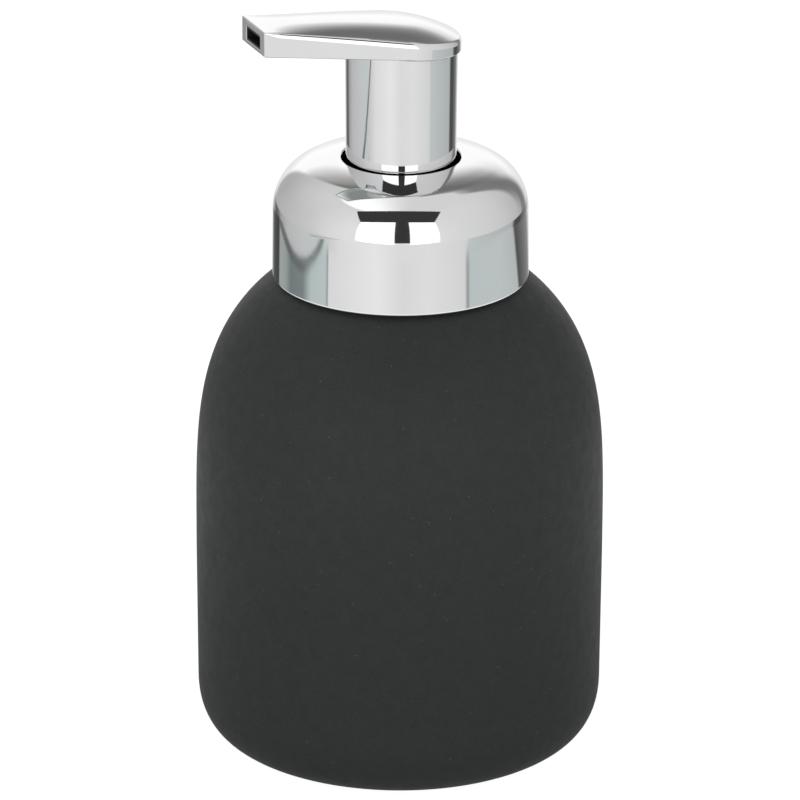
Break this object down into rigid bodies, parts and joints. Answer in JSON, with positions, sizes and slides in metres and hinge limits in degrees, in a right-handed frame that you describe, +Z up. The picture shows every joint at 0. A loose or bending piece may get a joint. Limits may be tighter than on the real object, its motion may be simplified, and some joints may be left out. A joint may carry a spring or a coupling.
{
  "type": "foaming soap dispenser",
  "caption": "Free-standing foam soap dispenser: rounded matte ceramic bottle, domed chrome screw collar, chrome sleeve and flat tapering spout head pressed down to pump.",
  "frame": {"origin": "on the bottle's axis, in the plane of the foot ring", "axes": "+Z up along the bottle's axis, the spout points along -Y, +X to the right of someone facing the spout's outlet"},
  "size_m": [0.0804, 0.0804, 0.15],
  "materials": {
    "coated_ceramic": "soft matte coating, anthracite",
    "chrome": "bright chrome plating on plastic",
    "black_plastic": "moulded black polypropylene",
    "natural_plastic": "moulded natural polypropylene",
    "seal_rubber": "soft grey seal rubber",
    "spring_steel": "bright stainless steel"
  },
  "bodies": {
    "bottle": {"bottle": "coated_ceramic", "neck_insert": "natural_plastic"},
    "pump": {"neck_gasket": "seal_rubber", "air_cylinder": "natural_plastic", "cylinder_lid": "black_plastic", "dip_tube": "natural_plastic", "spring_seat": "natural_plastic", "return_spring": "spring_steel"},
    "collar": {"collar_shell": "chrome", "screw_cap": "black_plastic"},
    "piston": {"air_piston": "natural_plastic", "air_valve": "seal_rubber"},
    "head": {"liquid_piston": "natural_plastic", "stem": "natural_plastic", "lower_mesh": "natural_plastic", "foam_chamber": "natural_plastic", "upper_mesh": "natural_plastic", "sleeve": "chrome", "head_base": "chrome", "head_cover": "chrome", "foam_duct": "black_plastic"},
    "inlet_ball": {"inlet_ball": "spring_steel"},
    "outlet_ball": {"outlet_ball": "spring_steel"}
  },
  "joints": [
    {"name": "pump_rise", "type": "slide", "parent": "bottle", "child": "pump", "axis": [0, 0, 1], "range_m": [0, 0.0061]},
    {"name": "collar_turn", "type": "hinge", "parent": "pump", "child": "collar", "pos_m": [0, 0, 0.0958], "axis": [0, 0, 1], "range_deg": [0, 540]},
    {"name": "head_press", "type": "slide", "parent": "pump", "child": "piston", "axis": [0, 0, -1], "range_m": [0, 0.018], "stiffness_N_per_m": 700, "springref_m": -0.0086, "deforming": ["return_spring"]},
    {"name": "head_turn", "type": "hinge", "parent": "piston", "child": "head", "pos_m": [0, 0, 0.1425], "axis": [0, 0, 1], "continuous": true},
    {"name": "inlet_ball_lift", "type": "slide", "parent": "pump", "child": "inlet_ball", "axis": [0, 0, 1], "range_m": [0, 0.0015]},
    {"name": "outlet_ball_lift", "type": "slide", "parent": "head", "child": "outlet_ball", "axis": [0, 0, 1], "range_m": [0, 0.0015]}
  ],
  "couplings": [
    {"joint": "pump_rise", "follows": "collar_turn", "m_per_rad": 0.00063662}
  ]
}
